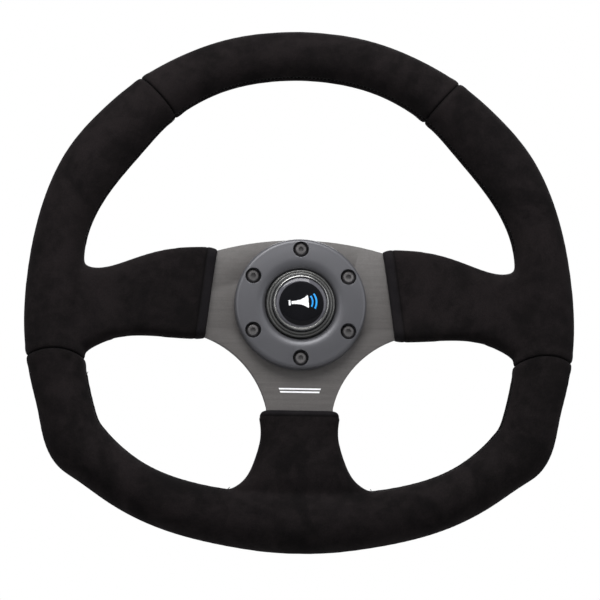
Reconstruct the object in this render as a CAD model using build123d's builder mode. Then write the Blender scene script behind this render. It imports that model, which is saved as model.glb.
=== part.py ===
"""Quick release steering wheel: a flat-bottomed, suede-wrapped wheel on a ball-lock hub.

Millimetres. +X is the driver's right, +Z is up and +Y points from the driver to the column.
The origin is on the steering axis, at the shoulder inside the hub that the column boss seats on.
"""

import os
from math import cos, radians, sin

from build123d import *

# ---- driving dimensions -------------------------------------------------------------------
# depth stack along the steering axis, from the hub's shoulder (y = 0) towards the driver
FLANGE_T = 8.0
PLATE_T = 5.0
RING_T = 8.3
HUB_FRONT_Y = -FLANGE_T
PLATE_FRONT_Y = HUB_FRONT_Y - PLATE_T
RING_FRONT_Y = PLATE_FRONT_Y - RING_T
RIM_MID_Y = HUB_FRONT_Y - PLATE_T / 2

# six-screw bolt circle
BOLT_COUNT = 6
BOLT_CIRCLE_R = 35.0
SCREW_R = 2.45
SCREW_CLEARANCE_R = 2.75
THREAD_R = 2.5
COUNTERBORE_R = 5.1
COUNTERBORE_Y = RING_FRONT_Y + 3.7

# rim stations over the top and down the side: outer x, outer z, inner x, inner z, depth
UPPER_RIM = (
    (-25.0, 176.2, -20.0, 145.4, 28.0),
    (0.0, 177.9, 0.0, 146.8, 28.0),
    (25.0, 176.2, 20.0, 145.4, 28.0),
    (51.0, 170.8, 42.0, 140.8, 28.0),
    (78.0, 160.0, 64.0, 131.3, 28.0),
    (98.5, 148.3, 80.0, 120.2, 29.0),
    (126.5, 125.0, 100.0, 98.5, 30.0),
    (147.3, 100.4, 116.0, 79.0, 30.0),
    (159.8, 75.8, 128.0, 60.9, 30.0),
    (168.3, 48.0, 136.0, 40.0, 29.0),
    (174.4, 8.0, 138.0, 8.0, 29.0),
    (175.3, -12.0, 138.5, -12.0, 29.0),
    (173.5, -35.0, 136.6, -35.0, 29.0),
    (169.4, -56.0, 134.6, -50.0, 29.0),
)
# and from the lower seam round the corner to the bottom
LOWER_RIM = (
    (175.3, -12.0, 138.5, -12.0, 29.0),
    (173.5, -35.0, 136.6, -35.0, 29.0),
    (171.9, -45.0, 135.6, -42.4, 29.0),
    (168.9, -58.0, 134.0, -52.0, 29.0),
    (164.1, -80.0, 129.0, -72.2, 29.0),
    (159.3, -96.0, 126.6, -78.0, 29.5),
    (144.2, -112.0, 121.6, -84.0, 30.0),
    (121.0, -128.0, 104.0, -99.7, 30.0),
    (88.7, -144.0, 77.6, -112.2, 29.5),
    (60.4, -152.0, 52.7, -117.9, 29.0),
    (30.0, -157.3, 26.0, -120.5, 29.0),
    (0.0, -159.0, 0.0, -121.5, 29.0),
    (-30.0, -157.3, -26.0, -120.5, 29.0),
)
# the upper seams run straight across the rim: (x, z) at the inner and at the outer edge
UPPER_SEAM = ((81.0, 122.4), (101.0, 144.7))
LOWER_SEAM_Z = -35.0
SUEDE_T = 1.3
TUBE_R = 5.0

# padded side spokes: distance from the axis, lowest z, highest z, thickness
SIDE_SPOKE = (
    (44, -22.5, 37.0, 11.0),
    (66, -22.3, 37.1, 12.5),
    (88, -21.0, 34.4, 14.0),
    (108, -20.8, 28.0, 16.0),
    (126, -25.0, 22.5, 17.5),
    (144, -34.5, 30.0, 16.0),
)
# the wrap ends along a slanted edge: its distance from the axis at the top and at the bottom
SIDE_WRAP_END = ((52.3, 36.0), (60.0, -22.0))

# padded lower spoke: z, half width, thickness
LOWER_SPOKE = (
    (-60.0, 25.0, 11.0),
    (-76.0, 25.0, 12.5),
    (-92.0, 26.0, 15.0),
    (-104.0, 30.0, 18.0),
    (-112.0, 34.5, 18.0),
    (-118.0, 42.0, 16.0),
    (-130.0, 50.0, 13.0),
)
LOWER_WRAP_END_Z = -68.4

# horn button
RING_OUTER_R = 42.0
FUNNEL_R = 27.7
HOUSING_BORE_R = 22.2
HOUSING_R = 22.1
HOUSING_FLANGE_R = 23.7
CAP_BORE_R = 18.2
CAP_R = 18.1
SKIRT_BORE_R = 19.5
CAP_FLANGE_R = 19.4
CAP_INNER_R = 15.3
BADGE_R = 16.4
BADGE_SEAT_R = BADGE_R + 0.05

# ball-lock hub
FLANGE_R = 41.0
CHAMBER_R = 15.0
BORE_R = 19.05
BORE_LENGTH = 22.0
RELIEF_R = 19.6
SLEEVE_R = 24.0
SLEEVE_END_Y = 45.0
RECESS_FLOOR_Y = -4.0
SEAT_CLEARANCE = 0.02
BALL_R = 3.175
BALL_COUNT = 6
BALL_Y = 31.0
BALL_PROUD = 1.3
BALL_AXIS_R = RELIEF_R - BALL_PROUD + BALL_R
RAMP_SLOPE = 0.2
RAMP_CLEARANCE = 0.11
COLLAR_R = 33.0
COLLAR_FRONT_Y = 9.0
COLLAR_REAR_Y = 41.6
GRIP_R = 36.0
FLUTE_COUNT = 12
POCKET_R = 28.5
POCKET_FLOOR_Y = 22.0
SNAP_Y = 41.8
SNAP_T = 1.6
SNAP_GROOVE_R = 23.0
SNAP_OUTER_R = 28.3
CLEARANCE = 0.05

os.makedirs("parts", exist_ok=True)


def save(part, name):
    """Labels a finished piece and writes it to its own STEP file."""
    part.label = name
    export_step(part, f"parts/{name}.step")


def depth_plane(y):
    """A plane square to the steering axis: x to the driver's right, y up, normal to the driver."""
    return Plane(origin=(0, y, 0), x_dir=(1, 0, 0), z_dir=(0, -1, 0))


def turned(*outline):
    """A solid of revolution about the steering axis, from (radius, y) corners."""
    with BuildPart() as solid:
        with BuildSketch(Plane.XY):
            with BuildLine():
                Polyline(*outline, close=True)
            make_face()
        revolve(axis=Axis.Y)
    return solid.part


def rim_half(stations, inset, side_of_seam):
    """The right half of the rim above or below its lower seam, lofted through oval sections."""
    with BuildPart() as stretch:
        for x_out, z_out, x_in, z_in, depth in stations:
            outer = Vector(x_out, RIM_MID_Y, z_out)
            inner = Vector(x_in, RIM_MID_Y, z_in)
            across = outer - inner
            along = across.cross(Vector(0, 1, 0))
            with BuildSketch(Plane(origin=(outer + inner) / 2, x_dir=across, z_dir=along)):
                Ellipse(across.length / 2 - inset, depth / 2 - inset)
        loft()
        split(bisect_by=Plane.YZ, keep=Keep.TOP)
        split(bisect_by=Plane.XY.offset(LOWER_SEAM_Z), keep=side_of_seam)
    return stretch.part


def padding(inset):
    """Rim and spoke padding, its whole surface moved in by inset."""
    with BuildPart() as side:
        for x, low, high, thick in SIDE_SPOKE:
            centre = (x, RIM_MID_Y, (low + high) / 2)
            with BuildSketch(Plane(origin=centre, x_dir=(0, 0, 1), z_dir=(1, 0, 0))):
                slab = thick - 2 * inset
                RectangleRounded(high - low - 2 * inset, slab, 0.46 * slab)
        loft()
        (x_top, z_top), (x_low, z_low) = SIDE_WRAP_END
        edge = Vector(x_low - x_top, 0, z_low - z_top).normalized()
        across = edge.cross(Vector(0, 1, 0))
        start = Vector(x_top, 0, z_top) + across * (inset if across.X > 0 else -inset)
        outward = across if across.X > 0 else -across
        split(bisect_by=Plane(origin=start, z_dir=outward), keep=Keep.TOP)
    with BuildPart() as lower:
        for z, half, thick in LOWER_SPOKE:
            with BuildSketch(Plane(origin=(0, RIM_MID_Y, z), x_dir=(1, 0, 0), z_dir=(0, 0, -1))):
                slab = thick - 2 * inset
                RectangleRounded(2 * (half - inset), slab, 0.46 * slab)
        loft()
        split(bisect_by=Plane.XY.offset(LOWER_WRAP_END_Z - inset), keep=Keep.BOTTOM)
    with BuildPart() as whole:
        add(rim_half(UPPER_RIM, inset, Keep.TOP))
        add(rim_half(LOWER_RIM, inset, Keep.BOTTOM))
        add(side.part)
        mirror(about=Plane.YZ)
        add(lower.part)
    return whole.part


# ---- rim core: one bent tube, an arc over the top, straight sides, two corners and a long bottom arc
TOP_ARC_R = 160.0
TOP_ARC_Z = 1.5
TOP_ARC_DEG = 102.4
CORNER_R = 42.0
BOTTOM_START_DEG = 155.0
TUBE_BOTTOM_Z = -139.5


def clock(angle, radius=1.0):
    """The offset to a point angle degrees clockwise from the top of a circle."""
    return Vector(radius * sin(radians(angle)), 0, radius * cos(radians(angle)))


def corner_arc(straight):
    """Start and centre of the corner, and the bottom arc's radius, for a straight side's length."""
    heading = Vector(cos(radians(TOP_ARC_DEG)), 0, -sin(radians(TOP_ARC_DEG)))
    start = top_centre + clock(TOP_ARC_DEG, TOP_ARC_R) + heading * straight
    centre = start - clock(TOP_ARC_DEG, CORNER_R)
    radius = centre.X / sin(radians(BOTTOM_START_DEG)) + CORNER_R
    return start, centre, radius


def bottom_height(straight):
    """Height of the tube's lowest point for a given length of straight side."""
    _, centre, radius = corner_arc(straight)
    return centre.Z - (radius - CORNER_R) * cos(radians(BOTTOM_START_DEG)) - radius


top_centre = Vector(0, RIM_MID_Y, TOP_ARC_Z)
fall_per_mm = bottom_height(1.0) - bottom_height(0.0)
straight_side = (TUBE_BOTTOM_Z - bottom_height(0.0)) / fall_per_mm
corner_start, corner_centre, bottom_arc_r = corner_arc(straight_side)
bottom_start = corner_centre + clock(BOTTOM_START_DEG, CORNER_R)
bottom_point = Vector(0, RIM_MID_Y, TUBE_BOTTOM_Z)
bottom_centre = bottom_point + Vector(0, 0, bottom_arc_r)
top_end = top_centre + clock(TOP_ARC_DEG, TOP_ARC_R)
corner_mid_deg = (TOP_ARC_DEG + BOTTOM_START_DEG) / 2
bottom_mid_deg = (BOTTOM_START_DEG + 180) / 2

with BuildPart() as rim_core:
    with BuildLine() as tube_path:
        ThreePointArc(
            top_centre + clock(0, TOP_ARC_R),
            top_centre + clock(TOP_ARC_DEG / 2, TOP_ARC_R),
            top_end,
        )
        Line(top_end, corner_start)
        ThreePointArc(
            corner_start, corner_centre + clock(corner_mid_deg, CORNER_R), bottom_start
        )
        ThreePointArc(bottom_start, bottom_centre + clock(bottom_mid_deg, bottom_arc_r), bottom_point)
    with BuildSketch(Plane(origin=top_centre + clock(0, TOP_ARC_R), z_dir=(1, 0, 0))):
        Circle(TUBE_R)
    sweep()
    mirror(about=Plane.YZ)
save(rim_core.part, "rim_core")

# ---- spoke plate: one flat blank, three spokes that run into the padding and meet the tube
SPOKE_TIP_X = 157.0
PLATE_HOLE_R = 24.0
with BuildPart() as spoke_plate:
    with BuildSketch(depth_plane(HUB_FRONT_Y)):
        with BuildLine():
            ThreePointArc((-52.3, 34.8), (0, 42.1), (52.3, 34.8))
            Spline((52.3, 34.8), (90, 22), (SPOKE_TIP_X, 15), tangents=((1, -0.28), (1, 0)))
            Line((SPOKE_TIP_X, 15), (SPOKE_TIP_X, -15))
            Spline((SPOKE_TIP_X, -15), (110, -14), (66, -19.2), tangents=((-1, 0), (-1, -0.22)))
            ThreePointArc((66, -19.2), (34.2, -39.6), (21.2, -66))
            Line((21.2, -66), (17.5, TUBE_BOTTOM_Z))
            Line((17.5, TUBE_BOTTOM_Z), (0, TUBE_BOTTOM_Z))
            mirrored = ((-SPOKE_TIP_X, 15), (-SPOKE_TIP_X, -15))
            Spline((-52.3, 34.8), (-90, 22), mirrored[0], tangents=((-1, -0.28), (-1, 0)))
            Line(*mirrored)
            Spline(mirrored[1], (-110, -14), (-66, -19.2), tangents=((1, 0), (1, -0.22)))
            ThreePointArc((-66, -19.2), (-34.2, -39.6), (-21.2, -66))
            Line((-21.2, -66), (-17.5, TUBE_BOTTOM_Z))
            Line((-17.5, TUBE_BOTTOM_Z), (0, TUBE_BOTTOM_Z))
        make_face()
        Circle(PLATE_HOLE_R, mode=Mode.SUBTRACT)
        with PolarLocations(BOLT_CIRCLE_R, BOLT_COUNT, start_angle=90):
            Circle(SCREW_CLEARANCE_R, mode=Mode.SUBTRACT)
    extrude(amount=PLATE_T)
    add(rim_core.part, mode=Mode.SUBTRACT)
save(spoke_plate.part, "spoke_plate")

# ---- foam moulded over the tube and the spoke ends
outer_shape = padding(0.0)
foam_shape = padding(SUEDE_T)
with BuildPart() as rim_foam:
    add(foam_shape)
    add(rim_core.part, mode=Mode.SUBTRACT)
    add(spoke_plate.part, mode=Mode.SUBTRACT)
save(rim_foam.part, "rim_foam")

# ---- suede: one skin, cut into four panels at the seams
with BuildPart() as skin:
    add(outer_shape)
    add(foam_shape, mode=Mode.SUBTRACT)
    add(spoke_plate.part, mode=Mode.SUBTRACT)

REACH = 260.0
(seam_in_x, seam_in_z), (seam_out_x, seam_out_z) = UPPER_SEAM
seam_run = (seam_out_x - seam_in_x) / (seam_out_z - seam_in_z)
seam_apex_z = seam_in_z - seam_in_x / seam_run
seam_x = (REACH - seam_apex_z) * seam_run
top_wedge = ((0, seam_apex_z), (seam_x, REACH), (-seam_x, REACH))
right_wedge = (
    (0, seam_apex_z),
    (0, LOWER_SEAM_Z),
    (REACH, LOWER_SEAM_Z),
    (REACH, REACH),
    (seam_x, REACH),
)
left_wedge = tuple((-x, z) for x, z in right_wedge)
bottom_block = (
    (-REACH, LOWER_SEAM_Z),
    (REACH, LOWER_SEAM_Z),
    (REACH, -REACH),
    (-REACH, -REACH),
)
for name, wedge in (
    ("suede_top", top_wedge),
    ("suede_right", right_wedge),
    ("suede_left", left_wedge),
    ("suede_bottom", bottom_block),
):
    with BuildPart() as panel:
        with BuildSketch(depth_plane(RIM_MID_Y)):
            with BuildLine():
                Polyline(*wedge, close=True)
            make_face()
        extrude(amount=REACH / 4, both=True)
        add(skin.part, mode=Mode.INTERSECT)
    save(panel.part, name)

# ---- retaining ring: clamps the plate and the horn housing to the hub
with BuildPart() as retaining_ring:
    add(
        turned(
            (HOUSING_BORE_R, PLATE_FRONT_Y),
            (RING_OUTER_R, PLATE_FRONT_Y),
            (RING_OUTER_R, RING_FRONT_Y),
            (FUNNEL_R, RING_FRONT_Y),
            (HOUSING_BORE_R, RING_FRONT_Y + 4.3),
        )
    )
    rims = retaining_ring.edges().filter_by(GeomType.CIRCLE)
    fillet(rims.filter_by(lambda e: abs(e.radius - RING_OUTER_R) < 0.1).sort_by(Axis.Y)[0], 1.6)
    rims = retaining_ring.edges().filter_by(GeomType.CIRCLE)
    fillet(rims.filter_by(lambda e: abs(e.radius - FUNNEL_R) < 0.1), 0.5)
    with BuildSketch(depth_plane(PLATE_FRONT_Y)):
        with PolarLocations(BOLT_CIRCLE_R, BOLT_COUNT, start_angle=90):
            Circle(SCREW_CLEARANCE_R)
    extrude(amount=RING_T, mode=Mode.SUBTRACT)
    with BuildSketch(depth_plane(COUNTERBORE_Y)):
        with PolarLocations(BOLT_CIRCLE_R, BOLT_COUNT, start_angle=90):
            Circle(COUNTERBORE_R)
    extrude(amount=RING_T, mode=Mode.SUBTRACT)
save(retaining_ring.part, "retaining_ring")

# ---- six M5 button head screws
HEAD_R = 4.7
HEAD_T = 2.75
HEX_ACROSS = 3.0
SCREW_END_Y = -1.5
head_top_y = COUNTERBORE_Y - HEAD_T
with BuildPart() as ring_screws:
    with BuildSketch(depth_plane(SCREW_END_Y)):
        with PolarLocations(BOLT_CIRCLE_R, BOLT_COUNT, start_angle=90):
            Circle(SCREW_R)
    extrude(amount=COUNTERBORE_Y - SCREW_END_Y, dir=(0, 1, 0))
    with BuildSketch(depth_plane(COUNTERBORE_Y)):
        with PolarLocations(BOLT_CIRCLE_R, BOLT_COUNT, start_angle=90):
            Circle(HEAD_R)
    extrude(amount=HEAD_T)
    crowns = ring_screws.faces().sort_by(Axis.Y)[:BOLT_COUNT].edges()
    fillet(crowns, 2.2)
    with BuildSketch(depth_plane(head_top_y)):
        with PolarLocations(BOLT_CIRCLE_R, BOLT_COUNT, start_angle=90):
            RegularPolygon(HEX_ACROSS / 2, 6, major_radius=False)
    extrude(amount=-1.6, mode=Mode.SUBTRACT)
save(ring_screws.part, "ring_screws")

# ---- horn housing: a stepped collar held behind the ring's bore, open through its middle
with BuildPart() as horn_housing:
    add(
        turned(
            (CAP_BORE_R, -20.3),
            (18.8, -20.9),
            (19.7, -20.9),
            (20.1, -19.3),
            (20.5, -19.9),
            (21.3, -19.9),
            (HOUSING_R, -18.0),
            (HOUSING_R, -12.9),
            (HOUSING_FLANGE_R, -12.9),
            (HOUSING_FLANGE_R, -8.1),
            (SKIRT_BORE_R, -8.1),
            (SKIRT_BORE_R, -16.0),
            (CAP_BORE_R, -16.0),
        )
    )
save(horn_housing.part, "horn_housing")

# ---- horn base: an insulating disc that closes the housing and carries the two contacts
CONTACT_X = 8.0
with BuildPart() as horn_base:
    add(
        turned(
            (0, -10.3),
            (6.2, -10.3),
            (6.2, -11.0),
            (7.0, -11.0),
            (7.0, -10.3),
            (SKIRT_BORE_R - SEAT_CLEARANCE, -10.3),
            (SKIRT_BORE_R - SEAT_CLEARANCE, -8.1),
            (0, -8.1),
        )
    )
    with BuildSketch(depth_plane(-8.0)):
        with Locations((-CONTACT_X - 2.5, 0), (CONTACT_X + 2.5, 0)):
            Rectangle(0.9, 6.4)
    extrude(amount=3.0, mode=Mode.SUBTRACT)
save(horn_base.part, "horn_base")

# ---- horn terminals: two folded tabs, a contact pad in front of the base and a blade behind it
with BuildPart() as horn_terminals:
    with BuildSketch(Plane.XY.offset(-3.15)):
        with BuildLine():
            Polyline(
                (10.1, -1.2),
                (10.9, -1.2),
                (10.9, -12.2),
                (8.4, -12.2),
                (8.4, -11.4),
                (10.1, -11.4),
                close=True,
            )
        make_face()
    extrude(amount=6.3)
    mirror(about=Plane.YZ)
save(horn_terminals.part, "horn_terminals")

# ---- horn cap: the moving button, a cup with a flange that the housing's shoulder holds back
with BuildPart() as horn_cap:
    add(
        turned(
            (0, -21.6),
            (BADGE_SEAT_R, -21.6),
            (BADGE_SEAT_R, -22.9),
            (CAP_R, -22.9),
            (CAP_R, -15.8),
            (CAP_FLANGE_R, -15.8),
            (CAP_FLANGE_R, -13.0),
            (CAP_INNER_R, -13.0),
            (CAP_INNER_R, -19.8),
            (4.0, -19.8),
            (4.0, -14.9),
            (0, -14.9),
        )
    )
save(horn_cap.part, "horn_cap")

# ---- bright ring round the badge
with BuildPart() as badge_ring:
    add(
        turned(
            (BADGE_SEAT_R, -22.95),
            (CAP_R - 0.05, -22.95),
            (CAP_R - 0.05, -23.3),
            (17.0, -24.6),
            (16.7, -24.7),
            (BADGE_SEAT_R, -24.4),
        )
    )
save(badge_ring.part, "badge_ring")

# ---- domed badge
DOME_TOP_Y = -25.4
with BuildPart() as horn_badge:
    with BuildSketch(Plane.XY):
        with BuildLine():
            Line((0, -21.65), (BADGE_R, -21.65))
            Line((BADGE_R, -21.65), (BADGE_R, -23.4))
            Spline((BADGE_R, -23.4), (12.0, -25.0), (0, DOME_TOP_Y), tangents=((-1, -0.8), (-1, 0)))
            Line((0, DOME_TOP_Y), (0, -21.65))
        make_face()
    revolve(axis=Axis.Y)
save(horn_badge.part, "horn_badge")

# ---- contact plate: riveted to the cap's post, it bridges the two terminals when pressed
with BuildPart() as contact_plate:
    add(turned((0, -14.85), (12.4, -14.85), (12.4, -14.35), (0, -14.35)))
save(contact_plate.part, "contact_plate")


def coil(radius, wire, start_y, end_y, turns):
    """A compression spring about the steering axis."""
    pitch = (end_y - start_y - wire) / turns
    with BuildPart() as spring:
        with BuildLine() as path:
            start_point = (0, start_y + wire / 2, 0)
            Helix(pitch, pitch * turns, radius, center=start_point, direction=(0, 1, 0))
        start = path.line @ 0
        with BuildSketch(Plane(origin=start, z_dir=path.line % 0)):
            Circle(wire / 2)
        sweep(is_frenet=True)
    return spring.part


# ---- springs
horn_spring = coil(14.3, 0.9, -19.7, -10.4, 3.5)
save(horn_spring, "horn_spring")
collar_spring = coil(26.6, 1.8, 0.2, 21.8, 5.0)
save(collar_spring, "collar_spring")

# ---- hub flange: takes the six screws and holds the sleeve in a recess
with BuildPart() as hub_flange:
    add(
        turned(
            (CHAMBER_R, -FLANGE_T),
            (FLANGE_R, -FLANGE_T),
            (FLANGE_R, 0),
            (SLEEVE_R + SEAT_CLEARANCE, 0),
            (SLEEVE_R + SEAT_CLEARANCE, RECESS_FLOOR_Y),
            (CHAMBER_R, RECESS_FLOOR_Y),
        )
    )
    rims = hub_flange.edges().filter_by(GeomType.CIRCLE)
    chamfer(rims.filter_by(lambda e: abs(e.radius - FLANGE_R) < 0.1), 0.8)
    with BuildSketch(depth_plane(0)):
        with PolarLocations(BOLT_CIRCLE_R, BOLT_COUNT, start_angle=90):
            Circle(THREAD_R)
    extrude(amount=FLANGE_T, mode=Mode.SUBTRACT)
save(hub_flange.part, "hub_flange")

# ---- hub sleeve: shoulder, column bore with two keyways, ball holes and snap ring groove
KEYWAY_DEPTH_R = 21.5
with BuildPart() as hub_sleeve:
    add(
        turned(
            (CHAMBER_R, RECESS_FLOOR_Y),
            (SLEEVE_R, RECESS_FLOOR_Y),
            (SLEEVE_R, SNAP_Y),
            (SNAP_GROOVE_R, SNAP_Y),
            (SNAP_GROOVE_R, SNAP_Y + SNAP_T),
            (SLEEVE_R, SNAP_Y + SNAP_T),
            (SLEEVE_R, SLEEVE_END_Y),
            (RELIEF_R + 0.8, SLEEVE_END_Y),
            (RELIEF_R, SLEEVE_END_Y - 0.8),
            (RELIEF_R, BORE_LENGTH),
            (BORE_R, BORE_LENGTH),
            (BORE_R, 0),
            (CHAMBER_R, 0),
        )
    )
    with BuildSketch(depth_plane(0)):
        with Locations((0, BORE_R)):
            Rectangle(6.0, 2 * (KEYWAY_DEPTH_R - BORE_R))
        with Locations((0, -BORE_R)):
            Rectangle(4.0, 2 * (KEYWAY_DEPTH_R - BORE_R))
    extrude(amount=SLEEVE_END_Y, dir=(0, 1, 0), mode=Mode.SUBTRACT)
    for step in range(BALL_COUNT):
        angle = step * 360 / BALL_COUNT
        outward = (cos(radians(angle)), 0, sin(radians(angle)))
        with BuildSketch(Plane(origin=(0, BALL_Y, 0), z_dir=outward)):
            Circle(BALL_R + CLEARANCE)
        extrude(amount=30, mode=Mode.SUBTRACT)
save(hub_sleeve.part, "hub_sleeve")

# ---- lock balls
for step in range(BALL_COUNT):
    angle = step * 360 / BALL_COUNT
    with BuildPart() as lock_ball:
        with Locations(
            (BALL_AXIS_R * cos(radians(angle)), BALL_Y, BALL_AXIS_R * sin(radians(angle)))
        ):
            Sphere(BALL_R)
    save(lock_ball.part, f"lock_ball_{step + 1}")

# ---- release collar: guide bore, ball ramp, spring pocket, grip lip with flutes
ramp_start_y = 28.0
ramp_start_r = BALL_AXIS_R + BALL_R + RAMP_SLOPE * (ramp_start_y - BALL_Y) + RAMP_CLEARANCE
ramp_end_r = ramp_start_r + RAMP_SLOPE * (COLLAR_REAR_Y - ramp_start_y)
with BuildPart() as release_collar:
    add(
        turned(
            (POCKET_R, COLLAR_FRONT_Y),
            (COLLAR_R - 1.0, COLLAR_FRONT_Y),
            (COLLAR_R, COLLAR_FRONT_Y + 1.0),
            (COLLAR_R, 30.0),
            (GRIP_R - 0.8, 33.2),
            (GRIP_R, 34.0),
            (GRIP_R, 37.6),
            (GRIP_R - 0.8, 38.4),
            (COLLAR_R - 1.5, 38.4),
            (COLLAR_R - 1.5, COLLAR_REAR_Y - 0.6),
            (COLLAR_R - 2.1, COLLAR_REAR_Y),
            (ramp_end_r, COLLAR_REAR_Y),
            (ramp_start_r, ramp_start_y),
            (SLEEVE_R + CLEARANCE, ramp_start_y),
            (SLEEVE_R + CLEARANCE, POCKET_FLOOR_Y),
            (POCKET_R, POCKET_FLOOR_Y),
        )
    )
    with BuildSketch(depth_plane(COLLAR_FRONT_Y)):
        with PolarLocations(GRIP_R + 2.4, FLUTE_COUNT):
            Circle(3.6)
    extrude(amount=COLLAR_REAR_Y, dir=(0, 1, 0), mode=Mode.SUBTRACT)
save(release_collar.part, "release_collar")

# ---- snap ring behind the collar
with BuildPart() as snap_ring:
    add(
        turned(
            (SNAP_GROOVE_R + 0.05, SNAP_Y + 0.1),
            (SNAP_OUTER_R, SNAP_Y + 0.1),
            (SNAP_OUTER_R, SNAP_Y + SNAP_T - 0.1),
            (SNAP_GROOVE_R + 0.05, SNAP_Y + SNAP_T - 0.1),
        )
    )
    with BuildSketch(depth_plane(SNAP_Y)):
        with Locations((0, 26)):
            Rectangle(7.0, 10.0)
    extrude(amount=SNAP_T, dir=(0, 1, 0), mode=Mode.SUBTRACT)
save(snap_ring.part, "snap_ring")
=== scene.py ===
"""Looks of the quick release steering wheel, laid out as a Blender add-on and run as a script.

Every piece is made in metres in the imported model's own frame: +X is the driver's right, +Z is up,
and +Y points from the driver along the steering axis to the column.
"""

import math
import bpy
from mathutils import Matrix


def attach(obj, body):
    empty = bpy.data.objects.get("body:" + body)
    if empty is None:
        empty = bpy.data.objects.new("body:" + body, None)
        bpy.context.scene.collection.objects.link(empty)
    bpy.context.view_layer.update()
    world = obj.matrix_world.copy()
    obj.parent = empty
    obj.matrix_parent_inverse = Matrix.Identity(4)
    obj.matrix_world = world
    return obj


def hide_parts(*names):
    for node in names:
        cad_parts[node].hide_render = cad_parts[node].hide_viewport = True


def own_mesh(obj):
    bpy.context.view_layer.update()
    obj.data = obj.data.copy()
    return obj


bl_info = {
    "name": "Quick Release Steering Wheel",
    "version": (1, 0, 0),
    "blender": (4, 5, 0),
    "location": "3D View > Sidebar > Wheel",
    "description": "Builds the suede wraps, horn, ring, plate and hub finishes over the packed model",
    "category": "Object",
}

import bmesh
import bpy
from bpy.props import FloatProperty, FloatVectorProperty, IntProperty, PointerProperty
from mathutils import Matrix, Quaternion, Vector
from mathutils.bvhtree import BVHTree

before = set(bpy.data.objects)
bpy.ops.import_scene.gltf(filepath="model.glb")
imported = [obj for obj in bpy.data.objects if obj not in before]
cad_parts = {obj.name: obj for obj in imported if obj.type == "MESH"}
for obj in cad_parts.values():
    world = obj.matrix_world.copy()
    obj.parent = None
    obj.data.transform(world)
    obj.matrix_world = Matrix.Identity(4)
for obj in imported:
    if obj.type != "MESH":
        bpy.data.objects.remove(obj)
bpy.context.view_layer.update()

MM = 0.001
RIM_MID_Y = -10.5
PLATE_FRONT_Y = -13.0
RING_FRONT_Y = -21.3
BOLT_CIRCLE_R = 35.0
FLOOR_Z = -1.45
LOW_WINDOWS = (Vector((-76.0, RIM_MID_Y, -62.0)), Vector((76.0, RIM_MID_Y, -62.0)))


# ---------------------------------------------------------------- settings


class WheelSizes(bpy.types.PropertyGroup):
    """Sizes of the wraps and the small made-up features."""

    voxel: FloatProperty(
        name="Wrap Detail", description="Voxel size of the wrap form",
        default=1.5 * MM, min=1 * MM, max=5 * MM, unit="LENGTH", precision=4,
    )
    blend_passes: IntProperty(
        name="Blend", description="Smoothing passes where the spokes meet the rim",
        default=9, min=0, max=60,
    )
    seam_depth: FloatProperty(
        name="Seam Depth", description="How far the suede turns in at a panel seam",
        default=1.5 * MM, min=0.0, max=3 * MM, unit="LENGTH", precision=4,
    )
    seam_round: FloatProperty(
        name="Seam Rounding", description="Width over which the suede turns in at a seam",
        default=1.9 * MM, min=0.2 * MM, max=6 * MM, unit="LENGTH", precision=4,
    )
    hem_width: FloatProperty(
        name="Hem Width", description="Width of the folded strip at the end of a spoke wrap",
        default=7.0 * MM, min=1 * MM, max=12 * MM, unit="LENGTH", precision=4,
    )
    stitch_pitch: FloatProperty(
        name="Stitch Pitch", description="Distance between stitches along the closing seam",
        default=4.6 * MM, min=2 * MM, max=12 * MM, unit="LENGTH", precision=4,
    )
    thread: FloatProperty(
        name="Thread", description="Thickness of the stitching thread",
        default=0.55 * MM, min=0.2 * MM, max=2 * MM, unit="LENGTH", precision=4,
    )


class WheelColours(bpy.types.PropertyGroup):
    """Colours of the finishes."""

    suede: FloatVectorProperty(
        name="Suede", description="Colour of the brushed suede",
        default=(0.0056, 0.0047, 0.0049), subtype="COLOR", min=0, max=1,
    )
    plate: FloatVectorProperty(
        name="Plate", description="Colour of the spoke plate's coating",
        default=(0.086, 0.080, 0.077), subtype="COLOR", min=0, max=1,
    )
    ring: FloatVectorProperty(
        name="Ring", description="Colour of the anodised retaining ring",
        default=(0.088, 0.088, 0.096), subtype="COLOR", min=0, max=1,
    )
    badge: FloatVectorProperty(
        name="Badge", description="Colour of the domed badge",
        default=(0.003, 0.003, 0.004), subtype="COLOR", min=0, max=1,
    )
    mark: FloatVectorProperty(
        name="Marks", description="Colour of the plate bars and the horn sign",
        default=(0.82, 0.83, 0.84), subtype="COLOR", min=0, max=1,
    )
    accent: FloatVectorProperty(
        name="Accent", description="Colour of the sound waves on the badge",
        default=(0.01, 0.28, 0.72), subtype="COLOR", min=0, max=1,
    )
    backdrop: FloatVectorProperty(
        name="Backdrop", description="Colour of the floor and the surroundings",
        default=(0.86, 0.86, 0.86), subtype="COLOR", min=0, max=1,
    )


def sizes():
    return bpy.context.scene.wheel_sizes


def colours():
    return bpy.context.scene.wheel_colours


# ---------------------------------------------------------------- shader groups


def new_group(name, inputs, outputs):
    """An empty shader node group with float or colour sockets, and its two end nodes."""
    group = bpy.data.node_groups.new(name, "ShaderNodeTree")
    for label, kind, default in inputs:
        socket = group.interface.new_socket(name=label, in_out="INPUT", socket_type=kind)
        if default is not None:
            socket.default_value = default
    for label, kind in outputs:
        group.interface.new_socket(name=label, in_out="OUTPUT", socket_type=kind)
    start = group.nodes.new("NodeGroupInput")
    end = group.nodes.new("NodeGroupOutput")
    return group, start, end


def node(tree, kind, **values):
    """A node with its settings and unlinked inputs filled in; a key 'in_Name' sets an input."""
    made = tree.nodes.new(kind)
    for key, value in values.items():
        if key.startswith("in_"):
            made.inputs[key[3:].replace("_", " ")].default_value = value
        else:
            setattr(made, key, value)
    return made


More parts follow.
